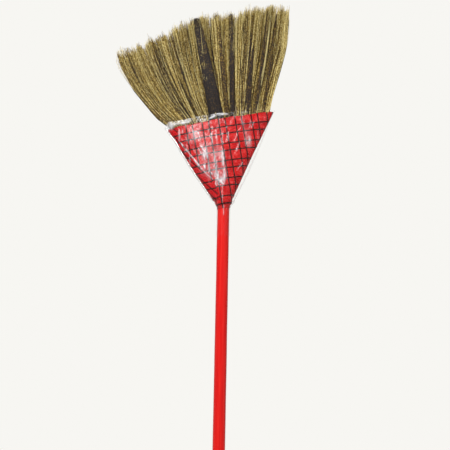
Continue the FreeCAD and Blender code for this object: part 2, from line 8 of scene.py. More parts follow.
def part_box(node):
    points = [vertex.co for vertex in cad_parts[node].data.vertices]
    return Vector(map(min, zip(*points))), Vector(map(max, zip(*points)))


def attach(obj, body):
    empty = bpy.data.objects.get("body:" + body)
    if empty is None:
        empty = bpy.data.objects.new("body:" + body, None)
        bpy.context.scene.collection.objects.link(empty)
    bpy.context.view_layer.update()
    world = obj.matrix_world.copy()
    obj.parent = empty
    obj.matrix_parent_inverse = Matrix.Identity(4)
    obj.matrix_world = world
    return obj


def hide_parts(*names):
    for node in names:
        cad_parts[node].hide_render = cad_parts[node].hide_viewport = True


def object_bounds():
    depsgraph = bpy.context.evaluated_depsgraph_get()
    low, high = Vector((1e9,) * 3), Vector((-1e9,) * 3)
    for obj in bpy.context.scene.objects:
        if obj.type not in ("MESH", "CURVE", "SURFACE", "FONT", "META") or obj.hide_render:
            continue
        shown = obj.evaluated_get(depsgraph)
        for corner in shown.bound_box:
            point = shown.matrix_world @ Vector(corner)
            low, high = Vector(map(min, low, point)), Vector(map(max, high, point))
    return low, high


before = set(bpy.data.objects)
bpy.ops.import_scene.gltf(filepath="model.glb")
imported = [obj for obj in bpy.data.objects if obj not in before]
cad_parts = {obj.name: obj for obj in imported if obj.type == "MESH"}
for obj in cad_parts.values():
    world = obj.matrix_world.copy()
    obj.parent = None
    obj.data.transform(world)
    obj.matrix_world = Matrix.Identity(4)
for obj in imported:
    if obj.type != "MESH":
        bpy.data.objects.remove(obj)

# A fan-shaped grass broom standing head up. Metres, +Z up, +X to the right, +Y to the back.

cadLow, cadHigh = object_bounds()

# The head leans from the neck, so its pieces are laid out in its own axes: across, through, along.
head = {
    "tilt": math.radians(7.5),
    "neck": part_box("handle_film")[1].z,
    "mouth": 0.172,
}


def headPoint(x, y, z):
    c = math.cos(head["tilt"])
    s = math.sin(head["tilt"])
    return x * c - z * s, y, head["neck"] + x * s + z * c


def headCoords(points):
    c = math.cos(head["tilt"])
    s = math.sin(head["tilt"])
    x = points[:, 0]
    z = points[:, 2] - head["neck"]
    return np.column_stack((x * c + z * s, points[:, 1], -x * s + z * c))


def nodePoints(node):
    # A CAD node's corners in the head's own axes.
    points = np.empty(len(node.data.vertices) * 3)
    node.data.vertices.foreach_get("co", points)
    return headCoords(points.reshape(-1, 3))


def useOnly(piece):
    bpy.ops.object.select_all(action="DESELECT")
    piece.select_set(True)
    bpy.context.view_layer.objects.active = piece


def applyPlace(piece):
    useOnly(piece)
    bpy.ops.object.transform_apply(location=True, rotation=True, scale=True)


def finishPiece(piece, slotName, material, *nodes):
    piece.data.materials.clear()
    piece.data.materials.append(material)
    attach(piece, "root")
    if nodes:
        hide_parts(*nodes)


def hexColour(text):
    channels = [int(text[k:k + 2], 16) / 255 for k in (1, 3, 5)]
    return [c / 12.92 if c <= 0.04045 else ((c + 0.055) / 1.055) ** 2.4 for c in channels] + [1.0]


def addNode(tree, kind, settings=None, links=None):
    # Settings are the node's properties or input values; links are where its inputs come from.
    node = tree.nodes.new(kind)
    for name, value in (settings or {}).items():
        if isinstance(name, str) and hasattr(node, name):
            setattr(node, name, value)
        else:
            node.inputs[name].default_value = value
    for name, source in (links or {}).items():
        tree.links.new(source, node.inputs[name])
    return node


def addMath(tree, operation, *terms, clamp=False):
    # Each term is a number or another node's output.
    settings = {"operation": operation, "use_clamp": clamp}
    links = {}
    for place, term in enumerate(terms):
        if isinstance(term, float):
            settings[place] = term
        else:
            links[place] = term
    return addNode(tree, "ShaderNodeMath", settings, links).outputs[0]


def addRange(tree, source, fromLow, fromHigh, toLow, toHigh):
    settings = {"From Min": fromLow, "From Max": fromHigh, "To Min": toLow, "To Max": toHigh}
    return addNode(tree, "ShaderNodeMapRange", settings, {"Value": source}).outputs["Result"]


def addNoise(tree, place, scale, detail, **settings):
    # The scale counts patches in a metre.
    settings.update({"Scale": scale, "Detail": detail})
    return addNode(tree, "ShaderNodeTexNoise", settings, {"Vector": place}).outputs["Fac"]


def addMapping(tree, place, **settings):
    return addNode(tree, "ShaderNodeMapping", settings, {"Vector": place}).outputs["Vector"]


def addMixShader(tree, share, first, second):
    links = {0: share, 1: first.outputs[0], 2: second.outputs[0]}
    return addNode(tree, "ShaderNodeMixShader", links=links)


def objectPlace(tree):
    return addNode(tree, "ShaderNodeTexCoord").outputs["Object"]


def newMaterial(name, **settings):
    material = bpy.data.materials.new(name)
    material.use_nodes = True
    shader = material.node_tree.nodes["Principled BSDF"]
    for key, value in settings.items():
        shader.inputs[key.replace("_", " ")].default_value = value
    return material, material.node_tree, shader


def colourRamp(tree, source, stops):
    ramp = addNode(tree, "ShaderNodeValToRGB", links={"Fac": source})
    elements = ramp.color_ramp.elements
    while len(elements) < len(stops):
        elements.new(0.5)
    for element, (place, colour) in zip(elements, stops):
        element.position = place
        element.color = hexColour(colour)
    return ramp.outputs["Color"]


def addColour(tree, shader, source, stops):
    tree.links.new(colourRamp(tree, source, stops), shader.inputs["Base Color"])


def addBump(tree, shader, height, strength, distance):
    settings = {"Strength": strength, "Distance": distance}
    normal = addNode(tree, "ShaderNodeBump", settings, {"Height": height}).outputs["Normal"]
    tree.links.new(normal, shader.inputs["Normal"])
    return normal


def grassMaterial(name, stops):
    # Dried grass: each stalk has its own tone between dark brown and pale straw. The speckle along it reads
    # as seeds and husks; its 2.6 mm patches are drawn coarser than the real ones of about 1 mm.
    material, tree, shader = newMaterial(name, Roughness=0.62, Specular_IOR_Level=0.35)
    tone = addNode(tree, "ShaderNodeAttribute", {"attribute_name": "tone"}).outputs["Fac"]
    speckle = addNoise(tree, objectPlace(tree), 380.0, 4.0, Roughness=0.8)
    spread = addMath(tree, "MULTIPLY_ADD", speckle, 3.6, -1.8)
    addColour(tree, shader, addMath(tree, "ADD", tone, spread, clamp=True), stops)
    addBump(tree, shader, speckle, 0.5, 0.0004)
    return material


def shrinkFilmMaterial():
    # PVC film shrunk on wood: strong semi-gloss red. Faint drag marks, 4 mm wide and 110 mm long, tell that
    # it was pulled along the stick.
    material, tree, shader = newMaterial("pvcShrinkFilm", Roughness=0.33, Specular_IOR_Level=0.14)
    drag = addNoise(tree, addMapping(tree, objectPlace(tree), Scale=(260.0, 260.0, 9.0)), 1.0, 4.0)
    addColour(tree, shader, drag, ((0.3, "#d01013"), (0.5, "#df1b17"), (0.72, "#e92b22")))
    addBump(tree, shader, drag, 0.25, 0.0003)
    return material


checkPrint = {
    "turn": math.radians(3.0),
    "line": 0.0025,  # width of one line
    "soft": 0.3,  # share of the line's half that its edge takes to fade
    # The period holds two lines: where the first lies, and how far on the second.
    "acrossPeriod": 0.0332, "acrossStart": -0.0487, "acrossPair": 0.0132,
    "alongPeriod": 0.0346, "alongStart": 0.0152, "alongPair": 0.0202,
}


def printLines(tree, coordinate, way):
    # Two lines in every period, across or along the film: each is a band round its own place.
    period = checkPrint[way + "Period"]
    start = checkPrint[way + "Start"]
    half = checkPrint["line"] / 2
    bands = []
    for offset in (start, start + checkPrint[way + "Pair"]):
        moved = addMath(tree, "SUBTRACT", coordinate, offset - period / 2)
        wrapped = addMath(tree, "FLOORED_MODULO", moved, period)
        away = addMath(tree, "ABSOLUTE", addMath(tree, "SUBTRACT", wrapped, period / 2))
        fade = (half * (1 - checkPrint["soft"]), half * (1 + checkPrint["soft"]))
        bands.append(addRange(tree, away, *fade, 1.0, 0.0))
    return addMath(tree, "MAXIMUM", *bands)


def printedFilmMaterial(name, stops):
    # Gravure-printed PVC film: glossy red under a windowpane check of double 2.5 mm ink lines. Clouds of
    # about 13 mm vary its red, darker and paler; the pink at their palest is painted sheen, and their bump
    # shows where it lifts off what it wraps.
    material, tree, shader = newMaterial(name, Roughness=0.36, Specular_IOR_Level=0.12)
    film = addNode(tree, "ShaderNodeUVMap", {"uv_map": "film"}).outputs["UV"]
    turned = addMapping(tree, film, Rotation=(0.0, 0.0, -checkPrint["turn"]))
    axes = addNode(tree, "ShaderNodeSeparateXYZ", links={"Vector": turned})
    columns = printLines(tree, axes.outputs["X"], "across")
    rows = printLines(tree, axes.outputs["Y"], "along")
    cloud = addNoise(tree, film, 75.0, 4.0, Roughness=0.6)
    # Of the mixing node's inputs, 6 and 7 are the two colours, and its output 2 is their mix.
    ink = addNode(tree, "ShaderNodeMix", {"data_type": "RGBA", 7: hexColour("#060504")},
                  {0: addMath(tree, "MAXIMUM", columns, rows), 6: colourRamp(tree, cloud, stops)})
    tree.links.new(ink.outputs[2], shader.inputs["Base Color"])
    addBump(tree, shader, cloud, 0.35, 0.0006)
    return material


def clearFilmMaterial():
    # Clear polypropylene film: what is behind it shows, and lamps glint in its 11 mm crumples. Its creases
    # and some patches are painted milk-white, partly whitened film and partly painted glare; that is what
    # makes the film visible.
    material, tree, milkAndGlareShader = newMaterial("clearPolypropylene", Roughness=0.3, Specular_IOR_Level=0.8)
    milkAndGlareShader.inputs["Base Color"].default_value = hexColour("#f3f3f6")
    slanting = addMapping(tree, objectPlace(tree), Scale=(1.0, 1.0, 0.4), Rotation=(0.0, 0.2, 0.0))
    crumple = addNoise(tree, slanting, 90.0, 5.0, Roughness=0.62)
    normal = addBump(tree, milkAndGlareShader, crumple, 0.6, 0.002)
    through = addNode(tree, "ShaderNodeBsdfTransparent", {"Color": hexColour("#ffffff")})
    gloss = addNode(tree, "ShaderNodeBsdfGlossy", {"Roughness": 0.14}, {"Normal": normal})
    slant = addNode(tree, "ShaderNodeFresnel", {"IOR": 1.22})
    mirror = addRange(tree, slant.outputs[0], 0.0, 0.3, 0.0, 0.3)
    clear = addMixShader(tree, mirror, through, gloss)
    creaseMilkAndGlare = addNode(tree, "ShaderNodeAttribute", {"attribute_name": "milkAndGlare"}).outputs["Fac"]
    patchy = addRange(tree, crumple, 0.42, 0.62, 0.15, 1.0)
    scuffAndSheen = addRange(tree, crumple, 0.62, 0.8, 0.0, 0.05)
    streak = addMath(tree, "MULTIPLY", creaseMilkAndGlare, patchy)
    # Where this is high the white shader shows: partly whitened film, partly painted glare and sheen.
    hazeAndGlare = addMath(tree, "MULTIPLY_ADD", streak, 0.8, scuffAndSheen, clamp=True)
    film = addMixShader(tree, hazeAndGlare, clear, milkAndGlareShader)
    tree.links.new(film.outputs[0], tree.nodes["Material Output"].inputs["Surface"])
    return material


def fibreMaterial(name, dark, light, grain):
    # Wood, bamboo or twine: matt, with a fine grain that follows the piece. The grain's three numbers count
    # its streaks in a metre along X, Y and Z: 300 is 3 mm wide, 12 is 80 mm long.
    material, tree, shader = newMaterial(name, Roughness=0.6)
    grown = addMapping(tree, objectPlace(tree), Scale=grain)
    rings = addNoise(tree, grown, 1.0, 6.0, Distortion=0.6)
    addColour(tree, shader, rings, ((0.3, dark), (0.7, light)))
    addBump(tree, shader, rings, 0.3, 0.0003)
    return material


def mouldedMaterial():
    # Injection-moulded polyethylene: satin red with a spark-eroded texture of 1.1 mm, coarser than the real.
    material, tree, shader = newMaterial("mouldedPolyethylene", Roughness=0.45, Specular_IOR_Level=0.3)
    grain = addNoise(tree, objectPlace(tree), 900.0, 2.0)
    addColour(tree, shader, grain, ((0.3, "#bf1319"), (0.7, "#d21d20")))
    addBump(tree, shader, grain, 0.2, 0.0002)
    return material


def steelMaterial():
    # Galvanised wire: dull zinc grey with a faint spangle of 1.7 mm.
    material, tree, shader = newMaterial("galvanisedSteel", Roughness=0.4, Metallic=1.0)
    spangle = addNode(tree, "ShaderNodeTexVoronoi", {"Scale": 600.0}, {"Vector": objectPlace(tree)})
    addColour(tree, shader, spangle.outputs["Distance"], ((0.1, "#8e9092"), (0.8, "#b4b6b8")))
    return material


def paintCadNodes(materials):
    for name, material in materials.items():
        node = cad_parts[name]
        node.data.materials.clear()
        node.data.materials.append(material)


materials = {
    "grass": grassMaterial("driedGrass", (
        (0.0, "#18100f"), (0.16, "#342517"), (0.38, "#69501f"), (0.6, "#997b34"), (0.8, "#c9ad53"),
        (1.0, "#efdf9c"),
    )),
    "film": shrinkFilmMaterial(),
    # The palest, pink stop of the printed film is painted sheen.
    "print": printedFilmMaterial("printedPvcFilm", (
        (0.3, "#a0080f"), (0.44, "#ba1015"), (0.57, "#cd201e"), (0.7, "#dd4a4c"),
    )),
    "fold": printedFilmMaterial("doubledPvcFilm", (
        (0.3, "#a60b15"), (0.5, "#be1319"), (0.72, "#cf282c"),
    )),
    "clear": clearFilmMaterial(),
    "wood": fibreMaterial("rubberwood", "#a8814f", "#cfae7a", (300.0, 300.0, 12.0)),
    "bamboo": fibreMaterial("splitBamboo", "#b79a5e", "#d8c28a", (12.0, 300.0, 300.0)),
    "cap": mouldedMaterial(),
    "steel": steelMaterial(),
    "twine": fibreMaterial("cottonTwine", "#b8ad90", "#ded6bd", (900.0, 900.0, 900.0)),
}
print("materials ready")

lanes = 13  # sheaves side by side in each layer

grass = {
    "seed": 4180,
    "frontStalks": 1050,  # in each sheaf of the front layer
    "backStalks": 560,
    "rings": 11,  # points along a stalk
    "sides": 3,
    "radius": 0.00042,
    "thickness": (0.6, 1.5),  # the thinnest and the thickest, as shares of the radius
    "taper": 0.6,  # share of its thickness that a stalk loses on the way to its tip
    "tufts": 6,  # clumps of one tone in each sheaf
    "locks": 64,  # thin bunches of a few stalks
    "lockSpread": 0.33,  # of the locks round their tuft, as a share of the sheaf's half-width
    "stalkSpread": 0.075,  # of the stalks round their lock
    "start": (0.135, 0.155),  # stalks branch off the stems inside the cover
    "tipSpread": 0.009,  # the longest stalks stand this far above the middle ones
    "ragged": 0.008,  # spread of the tips
    "tuftRagged": 0.35,  # shares of that spread which tufts, locks and stalks have
    "stalkRagged": 0.5,
    "shortShare": 0.3,  # share of stalks that end below the others, and how far below
    "shortBy": (0.01, 0.09),
    "widening": 0.10,  # sheaves widen and mingle towards the tips
    "lockLean": 0.0036,  # how far locks, stalks and strays lean off their way at the tips
    "stalkLean": 0.0020,
    "strayLean": 0.009,
    "leanCurve": 1.8,  # above 1 the lean comes late
    "depthLean": 0.7,  # share of the lean that goes to the front or the back
    "strays": 0.02,  # share of stalks that stand out
    "wave": 0.0006,
    "straight": 0.65,  # how far the stalks' curves are drawn straight
    "edgeShare": 0.45,  # over this share from the fan's edges the straightening grows
    "leftTrim": 0.90,  # the fan's own edges are clean at these shares of the last sheaf
    "rightTrim": 0.97,
    "trimPull": 1.5,  # stalks further out are drawn in by this much of what they are over
    "strayTrim": 0.3,
    "straightLanes": 5,  # so many sheaves on the left turn out straight from the mouth, without the
    "mouthSections": (0.003, 0.03),  # sections that lie between these heights above it
    "flare": 0.007,  # the outer left stalks turn out over the cover's corner
    "flareHeight": 0.187,
    "flareReach": 0.020,
    "flareFoot": (0.160, 0.172),  # it starts inside the cover
    "swell": 0.009,  # the outer right stalks stand out from just below the mouth
    "swellHeights": (0.162, 0.182, 0.300, 0.400),
    "swellShares": (0, 1, 0.6, 0),
    "boxMargin": 0.0012,  # stalks keep this far inside the object's box
    "boxPush": 0.6,  # and go back by this share of what they were over
}
# Tones run from 0 or less for black to 1 for the palest straw.
tones = {
    "middle": 0.42,
    "rightward": 0.17,  # the fan grows paler to the right
    "dip": 0.08,  # and is darker round this share of the fan
    "dipPlace": 0.12,
    "dipWidth": 0.15,
    "stripes": 0.08,  # stalks of other harvests: waves over the fan, their rates and starts
    "stripeWaves": ((37, 1.3), (83, 0.4)),
    "tuftReach": 0.077,  # how far along the fan a tuft can lie from its sheaf's middle
    "tuftSpread": 0.06,
    "lockSpread": 0.23,
    "stalkSpread": 0.21,
    "foot": -0.035,
    "tip": 0.28,  # sun-bleached tips, over their last part only
    "tipCurve": 4,
    "pale": 0.035,  # share of thick, pale stems, their tone and how much thicker they are
    "paleTone": 0.86,
    "paleThickness": 1.4,
    "dark": 0.10,  # share of weathered stems, and how much darker they are
    "darkStep": 0.30,
}
# The fan's cut line: share of the fan from its middle, and how far the tips stand from the sheaf's own.
cutLine = np.array((
    (-0.92, -0.008), (-0.77, -0.003), (-0.60, -0.007), (-0.15, -0.004), (0.0, -0.004),
    (0.20, -0.008), (0.47, -0.008), (0.62, -0.002), (0.77, 0.004), (0.92, -0.008),
))
# Dark bundles on the front: across at the mouth and at the tips, half-width at each, stalks, how far they
# stay below the tips, and tone.
darkBundles = {
    "sheaf_front_07": (0.0066, -0.0135, 0.0122, 0.0064, 760, 0.013, -0.18),
    # The mid-brown bundle in sheaf_front_08 is partly brown stalks and partly painted shade of the gaps
    # between stalks.
    "sheaf_front_08": (0.028, 0.031, 0.004, 0.004, 120, 0.03, 0.17),
    "sheaf_front_09": (0.0372, 0.061, 0.004, 0.0036, 190, 0.012, -0.12),
    "sheaf_front_11": (0.0672, 0.1105, 0.0052, 0.0022, 230, 0.06, -0.05),
    "sheaf_front_12": (0.084, 0.141, 0.001, 0.0036, 130, 0.01, 0.02),
    "sheaf_front_13": (0.1, 0.16, 0.0024, 0.0034, 110, 0.02, 0.15),
}
bundle = {
    "start": 0.012,  # bundles start this far below the cover's mouth
    "ragged": 0.020,
    "narrowing": 0.8,  # below 1 the change of width comes early
    "spread": 0.55,  # of the stalks over the bundle's half-width, and the most it can be
    "edge": 1.2,
    "wave": 0.0004,
    "sunk": 0.0012,  # behind the sheaf's front at the mouth
    "forward": 0.0026,  # how far it then comes forward, over the first part of its way
    "forwardRate": 5,
    "depth": (-0.0008, 0.003),
    "toneSpread": 0.06,
}


def sheafSections(node, corners=8):
    # Height, centre across and through, half-width and half-depth at each section of a CAD sheaf. A height
    # with too few corners isn't a whole section.
    points = nodePoints(node)
    heights = np.round(points[:, 2], 4)
    rows = []
    for height in np.unique(heights):
        ring = points[heights == height]
        if len(np.unique(np.round(ring[:, :2], 5), axis=0)) < corners:
            continue
        low = ring.min(0)
        high = ring.max(0)
        rows.append((height, *((low + high) / 2)[:2], *((high - low) / 2)[:2]))
    return np.array(rows)


def smoothTable(rows, step=0.004, blur=2):
    # Dense, softened table of the sections, so that stalks bend without a kink.
    heights = np.arange(rows[0, 0], rows[-1, 0] + step, step)
    table = np.column_stack([np.interp(heights, rows[:, 0], rows[:, k]) for k in range(1, 5)])
    kernel = np.hanning(2 * blur + 3)[1:-1]
    kernel /= kernel.sum()
    padded = np.pad(table, ((blur, blur), (0, 0)), mode="edge")
    soft = np.column_stack([np.convolve(padded[:, k], kernel, mode="valid") for k in range(4)])
    return heights, soft


def strandMesh(name, paths, radii, shades):
    # Tapered three-sided stalks along paths (stalk, ring, xyz) as one mesh.
    count, rings, _ = paths.shape
    sides = grass["sides"]
    along = np.gradient(paths, axis=1)
    along /= np.linalg.norm(along, axis=2, keepdims=True)
    across = np.cross(along, np.array([0.0, 1.0, 0.0]))
    across /= np.linalg.norm(across, axis=2, keepdims=True)
    through = np.cross(along, across)
    corners = np.stack([
        paths + radii[:, :, None] * (math.cos(turn) * across + math.sin(turn) * through)
        for turn in np.arange(sides) * 2 * math.pi / sides
    ], axis=2)
    vertices = corners.reshape(-1, 3)
    ring = np.arange(rings - 1)[:, None] * sides
    side = np.arange(sides)[None, :]
    following = (side + 1) % sides
    quads = np.stack([ring + side, ring + following, ring + sides + following, ring + sides + side], axis=2)
    quads = quads.reshape(-1, 4)
    strand = np.arange(count)[:, None, None] * rings * sides
    quadLoops = (quads[None] + strand).reshape(-1)
    ends = np.array([list(range(sides))[::-1], [(rings - 1) * sides + k for k in range(sides)]])
    endLoops = (ends[None] + strand).reshape(-1)
    loops = np.concatenate((quadLoops, endLoops)).astype(np.int32)
    quadCount = len(quadLoops) // 4
    endCount = len(endLoops) // sides
    starts = np.concatenate((np.arange(quadCount) * 4, len(quadLoops) + np.arange(endCount) * sides))
    mesh = bpy.data.meshes.new(name)
    mesh.vertices.add(len(vertices))
    mesh.vertices.foreach_set("co", vertices.reshape(-1))
    mesh.loops.add(len(loops))
    mesh.loops.foreach_set("vertex_index", loops)
    mesh.polygons.add(quadCount + endCount)
    mesh.polygons.foreach_set("loop_start", starts.astype(np.int32))
    mesh.update(calc_edges=True)
    mesh.validate()
    tone = mesh.attributes.new("tone", "FLOAT", "POINT")
    tone.data.foreach_set("value", np.repeat(shades, sides, axis=1).reshape(-1))
    mesh.shade_smooth()
    piece = bpy.data.objects.new(name, mesh)
    bpy.context.scene.collection.objects.link(piece)
    return piece


def insideBox(paths):
    # A stalk that would leave the object's box bends back into it.
    low = np.array(cadLow) + grass["boxMargin"]
    high = np.array(cadHigh) - grass["boxMargin"]
    paths = np.where(paths > high, high - grass["boxPush"] * (paths - high), paths)
    return np.where(paths < low, low + grass["boxPush"] * (low - paths), paths)


def toPart(across, through, along):
    x, y, z = headPoint(across, through, along)
    return np.stack(np.broadcast_arrays(x, y, z), axis=2)


def laneTips(layer):
    # How high each sheaf of a layer reaches along the head.
    tops = []
    for lane in range(1, lanes + 1):
        points = nodePoints(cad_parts[f"sheaf_{layer}_{lane:02d}"])
        tops.append(points[:, 2].max())
    return np.array(tops)


tips = {layer: laneTips(layer) for layer in ("front", "back")}


def fanTone(share, rng):
    # Olive straw with stripes of other harvests.
    stripe = sum(0.5 * math.sin(share * rate + start) for rate, start in tones["stripeWaves"])
    dip = math.exp(-((share - tones["dipPlace"]) / tones["dipWidth"]) ** 2)
    even = tones["middle"] + tones["rightward"] * share - tones["dip"] * dip
    return even + tones["stripes"] * stripe + rng.normal(0, tones["tuftSpread"])


def reflected(places, rng):
    # Places that fall outside the sheaf land somewhere inside it.
    return np.where(np.abs(places) > 1, np.sign(places) * rng.uniform(0.4, 1, places.shape), places)


def growLocks(rng, share):
    # Stalks hang together in locks, and locks in tufts: each lock has its own place, tone, end and lean.
    tufts = grass["tufts"]
    locks = grass["locks"]
    tuftPlaces = rng.uniform(-1, 1, (tufts, 2))
    tuftTones = np.array([fanTone(share + tones["tuftReach"] * place[0], rng) for place in tuftPlaces])
    tuftEnds = rng.normal(0, grass["tuftRagged"] * grass["ragged"], tufts)
    tuft = rng.integers(0, tufts, locks)
    places = reflected(tuftPlaces[tuft] + rng.normal(0, grass["lockSpread"], (locks, 2)), rng)
    lockTones = tuftTones[tuft] + rng.normal(0, tones["lockSpread"], locks)
    ends = tuftEnds[tuft] + rng.normal(0, grass["stalkRagged"] * grass["ragged"], locks)
    leans = rng.normal(0, grass["lockLean"], (locks, 2))
    return places, lockTones, ends, leans


def stalkEnds(rng, layer, lane, share, places, lockEnds):
    top = np.interp(lane + places[:, 0] / 2, np.arange(1, lanes + 1), tips[layer])
    top += np.interp(share + places[:, 0] / lanes, cutLine[:, 0], cutLine[:, 1])
    count = len(places)
    ends = top - grass["tipSpread"] + lockEnds + rng.normal(0, grass["stalkRagged"] * grass["ragged"], count)
    short = rng.random(count) < grass["shortShare"]
    ends[short] -= rng.uniform(*grass["shortBy"], short.sum())
    return ends


def straighten(across, along, places, heights, table, share):
    # Above the mouth the stalks spread in nearly straight lines, except along the fan's own edges.
    foot = np.interp(head["mouth"], heights, table[:, 0])
    foot = foot + places[:, :1] * np.interp(head["mouth"], heights, table[:, 2])
    rise = np.clip((along - head["mouth"]) / (along[:, -1:] - head["mouth"]), 0, 1)
    line = foot + (across[:, -1:] - foot) * rise
    inner = min(1.0, (1 - 1 / lanes - abs(share)) / grass["edgeShare"])
    return np.where(rise > 0, across + grass["straight"] * inner * (line - across), across)


def trimEdge(across, centre, half, stray, lane):
    # The fan's own edge stays a clean line, apart from the strays.
    if 1 < lane < lanes:
        return across
    outside, trim = (-1, grass["leftTrim"]) if lane == 1 else (1, grass["rightTrim"])
    over = outside * (across - centre) - half * trim
    over[stray] *= grass["strayTrim"]
    return across - outside * np.where(over > 0, grass["trimPull"] * over, 0)


def standOut(across, along, places, lane):
    if lane == 1:
        foot = np.interp(along, grass["flareFoot"], (0, 1))
        turned = np.exp(-((along - grass["flareHeight"]) / grass["flareReach"]) ** 2) * foot
        # The outermost stalks turn the most.
        across = across - grass["flare"] * turned * (0.6 - 0.4 * places)
    if lane > lanes - 2:
        # From nothing at the inner side of the last sheaf but one to the whole at the fan's edge.
        outer = (lane - lanes + 1 + (places + 1) / 2) / 2
        swell = np.interp(along, grass["swellHeights"], grass["swellShares"])
        across = across + grass["swell"] * outer * swell
    return across


def sheafTable(name, lane):
    rows = sheafSections(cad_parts[name])
    if lane <= grass["straightLanes"]:
        first, last = (head["mouth"] + height for height in grass["mouthSections"])
        rows = rows[(rows[:, 0] < first) | (rows[:, 0] > last)]
    return smoothTable(rows)


def makeSheaf(name, number):
    rng = np.random.default_rng(grass["seed"] + number)
    layer = name.split("_")[1]
    lane = int(name.split("_")[2])
    share = (2 * lane - 1) / lanes - 1
    heights, table = sheafTable(name, lane)
    count = grass[layer + "Stalks"]
    lockPlaces, lockTones, lockEnds, lockLeans = growLocks(rng, share)
    lock = rng.integers(0, grass["locks"], count)
    places = reflected(lockPlaces[lock] + rng.normal(0, grass["stalkSpread"], (count, 2)), rng)
    side = places[:, :1]
    steps = np.linspace(0, 1, grass["rings"])[None, :]
    ends = stalkEnds(rng, layer, lane, share, places, lockEnds[lock])
    start = grass["start"][0] + rng.uniform(0, grass["start"][1] - grass["start"][0], count)
    along = start[:, None] + (ends - start)[:, None] * steps
    centre, middle, half, depth = (np.interp(along, heights, table[:, k]) for k in range(4))
    wave = rng.normal(0, grass["wave"], (count, grass["rings"])) * steps
    lean = lockLeans[lock] + rng.normal(0, grass["stalkLean"], (count, 2))
    stray = rng.random(count) < grass["strays"]
    lean[stray] += rng.normal(0, grass["strayLean"], (stray.sum(), 2))
    bend = steps ** grass["leanCurve"]
    across = centre + side * half * (1 + grass["widening"] * steps) + lean[:, :1] * bend + wave
    across = straighten(across, along, places, heights, table, share)
    across = trimEdge(across, centre, half, stray, lane)
    across = standOut(across, along, side, lane)
    through = middle + places[:, 1:] * depth + lean[:, 1:] * grass["depthLean"] * bend
    shades = lockTones[lock][:, None] + rng.normal(0, tones["stalkSpread"], (count, 1))
    shades = shades + tones["tip"] * steps ** tones["tipCurve"] + tones["foot"]
    pale = rng.random(count) < tones["pale"]
    dark = rng.random(count) < tones["dark"]
    shades[dark] -= tones["darkStep"]
    shades[pale] = tones["paleTone"]
    if name in darkBundles:
        laid = darkStalks(name, rng, heights, table, tips[layer][lane - 1])
        across, through, along, shades = (
            np.vstack(pair) for pair in zip((across, through, along, shades), laid)
        )
    thickness = rng.uniform(*grass["thickness"], (len(across), 1))
    thickness[:count][pale] *= tones["paleThickness"]
    radii = grass["radius"] * thickness * (1 - grass["taper"] * steps ** 2)
    paths = insideBox(toPart(across, through, along))
    return strandMesh(name + "_stalks", paths, radii, shades)


def darkStalks(name, rng, heights, table, tip):
    # A dark bundle that lies on the front of the fan and keeps narrow towards its tip.
    low, high, lowHalf, highHalf, count, below, tone = darkBundles[name]
    ends = tip - below - np.abs(rng.normal(0, bundle["ragged"], count))
    start = np.full(count, head["mouth"] - bundle["start"])
    steps = np.linspace(0, 1, grass["rings"])[None, :]
    along = start[:, None] + (ends - start)[:, None] * steps
    rise = np.clip((along - head["mouth"]) / (tip - head["mouth"]), 0, 1)
    half = lowHalf + (highHalf - lowHalf) * rise ** bundle["narrowing"]
    place = np.clip(rng.normal(0, bundle["spread"], (count, 1)), -bundle["edge"], bundle["edge"])
    across = low + (high - low) * rise + place * half + rng.normal(0, bundle["wave"], along.shape)
    front = np.interp(along, heights, table[:, 1] - table[:, 3])
    forward = bundle["forward"] * np.clip(rise * bundle["forwardRate"], 0, 1)
    through = front + bundle["sunk"] - forward + rng.uniform(*bundle["depth"], (count, 1))
    shades = tone + np.abs(rng.normal(0, bundle["toneSpread"], (count, 1)))
    return across, through, along, np.repeat(shades, grass["rings"], axis=1)


sheafNames = sorted(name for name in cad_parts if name.startswith("sheaf_"))
for number, name in enumerate(sheafNames):
    sheaf = makeSheaf(name, number)
    finishPiece(sheaf, "grass", materials["grass"], name)
print("sheaves:", len(sheafNames))

cover = {
    "flat": (0.226, 0.190),  # each of the two sheets before it was wrapped, and its tapered cut
    "cut": 0.0240,
    "columns": 150,
    "rows": 130,
    "thickness": 0.0004,
    "collar": 0.0126,  # radius of the skirt round the handle
    "skirt": -0.0076,  # lowest edge, along the head
    "below": (-0.2, -0.0022),  # the collar's form goes on down, for the sleeve
    "widened": (-0.0008, 1.12, 1.16, 1.03),  # next height, and left, right and depth as shares of its radius
    "sections": (0.006, 0.09),  # heights where the CAD film changes its slope
    "above": 0.2,  # the form goes on above the mouth by this share of its last stretch
    "slant": 0.065,  # the mouth's edge climbs to the right
    "mouthLift": -0.0006,
    "ripples": ((0.0016, 45, 2.1, 0.4), (0.0012, 130, 7.7, 0.2)),  # height, rate and two seeds
    "corner": 0.004,  # the left corner stands out, growing between these heights
    "cornerHeights": (0.138, 0.168),
    "crumple": 0.0016,  # height of the creases
    "patches": ((0.7, 0.019, 2.2, 3.7), (0.35, 0.008, 2.0, 8.1)),  # share, size, stretch and seed
    "taut": 0.25,  # share of the creases that the skirt has
    "tautHeights": (-0.004, 0.004),
    "bump": 0.0016,  # the stick's end stands out under the film
    "bumpPlace": 0.0035,
    "bumpSides": (0.0145, 0.0125),
    "bumpTop": (0.042, 0.032),
    "backSeed": 0.5,  # the back takes its creases from here along the noise
}
fold = {
    "flat": (0.024, 0.165),
    "cut": 0.0035,
    "columns": 24,
    "rows": 120,
    "gap": 0.0005,
    "thickness": 0.0004,
    "corner": -0.085,  # the strip ends where the mouth's edge is at this place across
    "lift": 0.0011,  # its inner edge stands up, and only there
    "liftCurve": 3,
    # height along the head, width of the strip
    "widths": ((0.010, 0.011), (0.032, 0.018), (0.049, 0.019), (0.071, 0.0137),
               (0.108, 0.0114), (0.135, 0.0088), (0.152, 0.012), (0.168, 0.022)),
}
